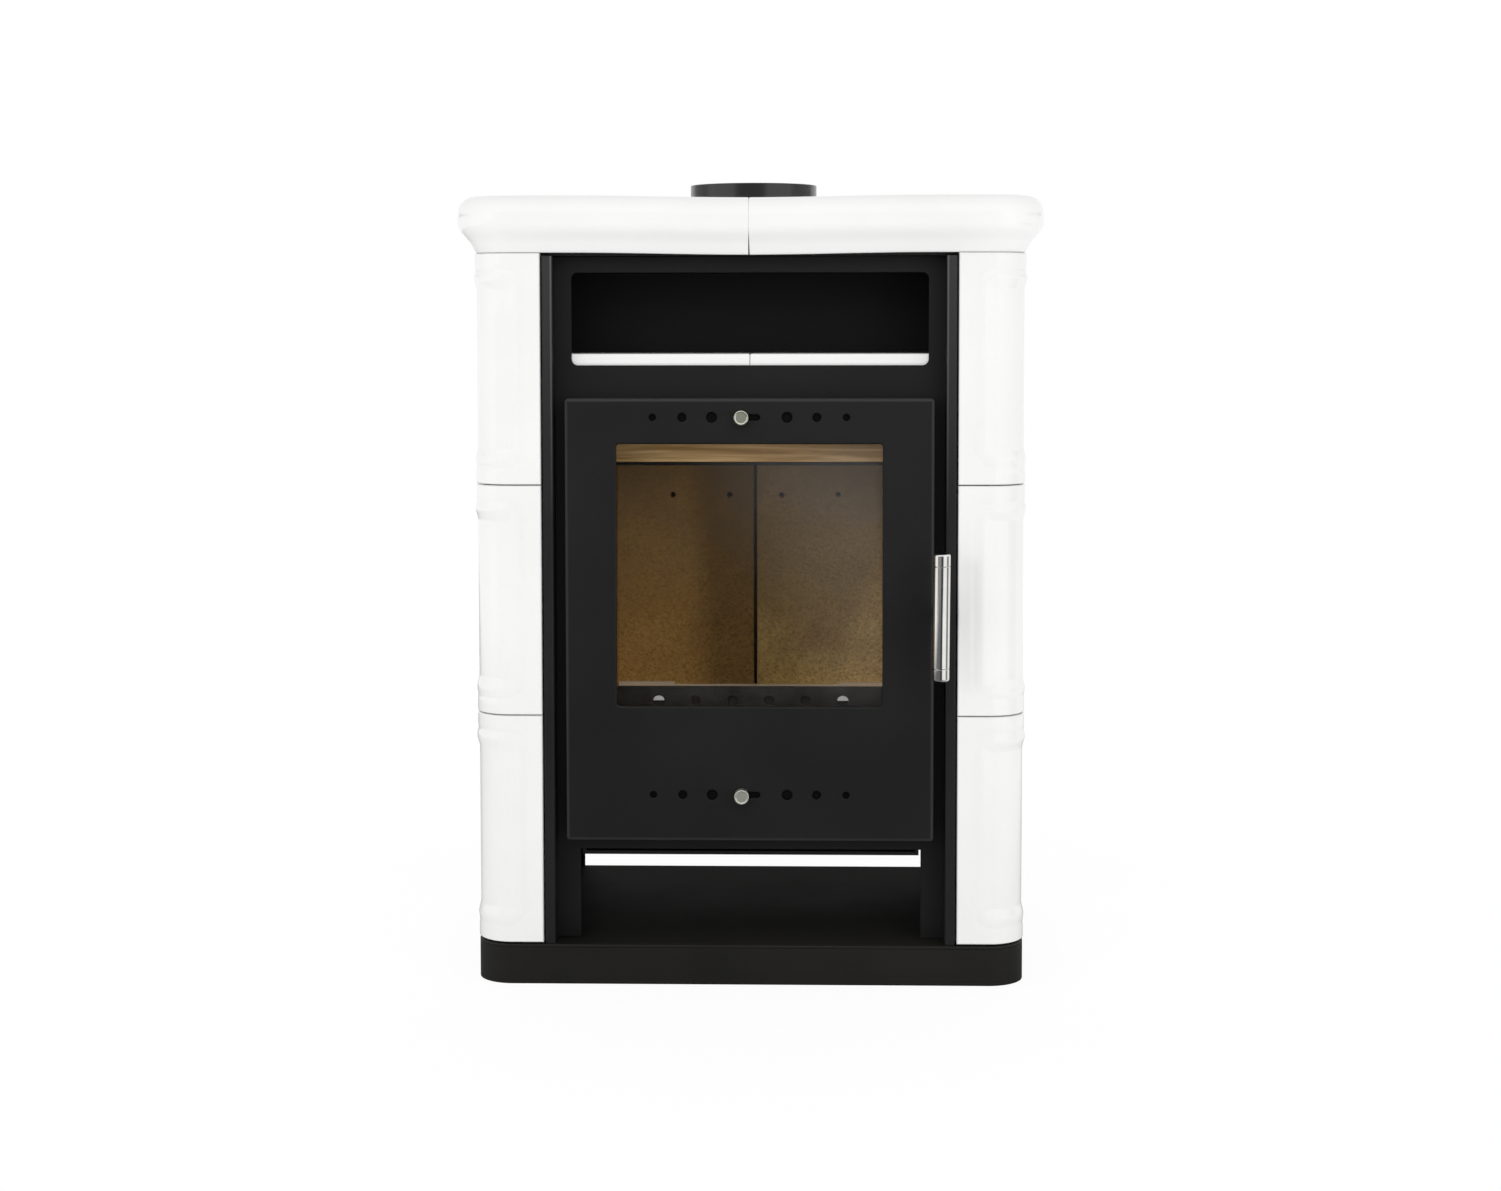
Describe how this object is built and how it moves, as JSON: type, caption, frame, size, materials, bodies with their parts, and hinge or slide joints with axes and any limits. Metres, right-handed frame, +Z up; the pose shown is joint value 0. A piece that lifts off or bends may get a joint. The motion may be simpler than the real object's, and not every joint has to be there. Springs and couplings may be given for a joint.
{
  "type": "tiled stove",
  "caption": "Free-standing wood stove with relief ceramic side tiles, moulded ceramic top, glazed door, warming niche and open log niche.",
  "frame": {"origin": "on the floor, under the middle of the stove's box", "axes": "+Z up, the door faces -Y, +X to the right as seen from the front"},
  "size_m": [0.6566, 0.4444, 0.906],
  "materials": {
    "black_paint": "matt black heat-proof paint",
    "collar_steel": "satin black steel",
    "white_glaze": "glossy white glaze",
    "polished_steel": "polished stainless steel",
    "bare_steel": "zinc-plated steel",
    "cast_iron": "raw casting",
    "fire_board": "pressed vermiculite board",
    "rope_seal": "glass-fibre rope",
    "stove_glass": "clear ceramic glass"
  },
  "bodies": {
    "stove": {"base_tray": "black_paint", "side_casing_left": "black_paint", "side_casing_right": "black_paint", "front_panel": "black_paint", "rear_panel": "black_paint", "top_plate": "black_paint", "niche_liner": "black_paint", "firebox_shell": "black_paint", "firebox_lid": "black_paint", "hinge_bracket_lower": "black_paint", "hinge_bracket_upper": "black_paint", "flue_pipe": "collar_steel", "flue_collar": "collar_steel", "niche_shelf_tile_left": "white_glaze", "niche_shelf_tile_right": "white_glaze", "top_tile_left": "white_glaze", "top_tile_right": "white_glaze", "side_tile_left_lower": "white_glaze", "side_tile_left_middle": "white_glaze", "side_tile_left_upper": "white_glaze", "side_tile_right_lower": "white_glaze", "side_tile_right_middle": "white_glaze", "side_tile_right_upper": "white_glaze", "leveling_foot_front_left": "bare_steel", "leveling_foot_front_right": "bare_steel", "leveling_foot_rear_left": "bare_steel", "leveling_foot_rear_right": "bare_steel", "ash_pan": "bare_steel", "hinge_pin_lower": "bare_steel", "hinge_pin_upper": "bare_steel", "latch_keeper": "bare_steel", "grate": "cast_iron", "log_guard": "cast_iron", "hearth_board": "fire_board", "back_board_left": "fire_board", "back_board_right": "fire_board", "side_board_left": "fire_board", "side_board_right": "fire_board", "baffle_plate": "fire_board"},
    "door": {"door_shell": "black_paint", "door_gasket": "rope_seal", "glass_gasket": "rope_seal", "glass_pane": "stove_glass", "glass_retainer_left": "bare_steel", "glass_retainer_right": "bare_steel", "hinge_eye_lower": "bare_steel", "hinge_eye_upper": "bare_steel", "upper_slide_guide": "bare_steel", "lower_slide_guide": "bare_steel", "latch_block": "bare_steel", "latch_pin": "bare_steel"},
    "upper_air_slide": {"upper_air_slide": "bare_steel", "upper_air_knob": "polished_steel"},
    "lower_air_slide": {"lower_air_slide": "bare_steel", "lower_air_knob": "polished_steel"},
    "latch": {"latch_lever": "bare_steel", "handle_tube": "polished_steel", "handle_cap_top": "polished_steel", "handle_cap_bottom": "polished_steel"}
  },
  "joints": [
    {"name": "door_hinge", "type": "hinge", "parent": "stove", "child": "door", "pos_m": [-0.198, -0.15475, 0.41], "axis": [0, 0, -1], "range_deg": [0, 105]},
    {"name": "upper_air_shift", "type": "slide", "parent": "door", "child": "upper_air_slide", "axis": [1, 0, 0], "range_m": [0, 0.0175]},
    {"name": "lower_air_shift", "type": "slide", "parent": "door", "child": "lower_air_slide", "axis": [1, 0, 0], "range_m": [0, 0.0175]},
    {"name": "latch_lift", "type": "hinge", "parent": "door", "child": "latch", "pos_m": [0.2115, -0.15675, 0.4204], "axis": [-1, 0, 0], "range_deg": [-10, 20]}
  ]
}
